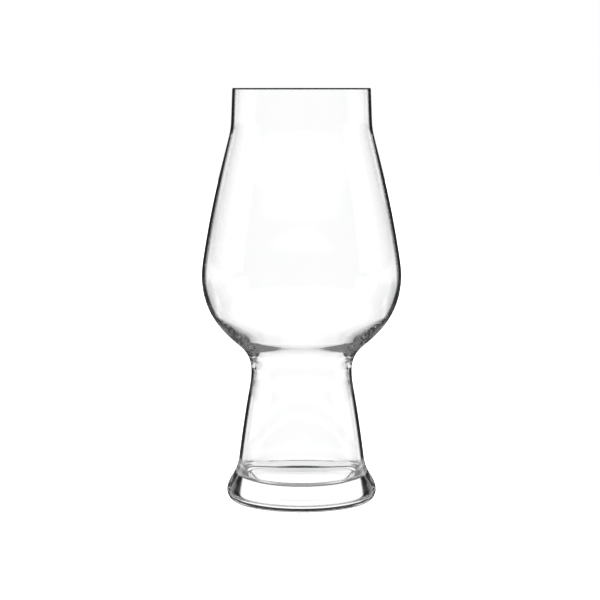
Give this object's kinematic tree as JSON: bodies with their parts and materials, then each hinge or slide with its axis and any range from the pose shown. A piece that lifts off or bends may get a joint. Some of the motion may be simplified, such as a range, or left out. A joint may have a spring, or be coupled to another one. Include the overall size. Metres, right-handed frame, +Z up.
{
  "type": "ipa beer glass",
  "caption": "Clear beer glass: a tapered bowl with an upright collar opens through a thick throat into a hollow conical stem on a solid bulging foot.",
  "frame": {"origin": "on the glass's axis at the table, in the plane of the flat ring under the foot", "axes": "+Z up along the axis of revolution, from the foot to the rim"},
  "size_m": [0.087, 0.087, 0.1802],
  "materials": {
    "bowl_glass": "clear, blown thin, fire-polished",
    "stem_glass": "clear, fire-polished",
    "foot_glass": "clear, thick, fire-polished"
  },
  "bodies": {
    "root": {"bowl": "bowl_glass", "stem": "stem_glass", "foot": "foot_glass"}
  },
  "joints": []
}
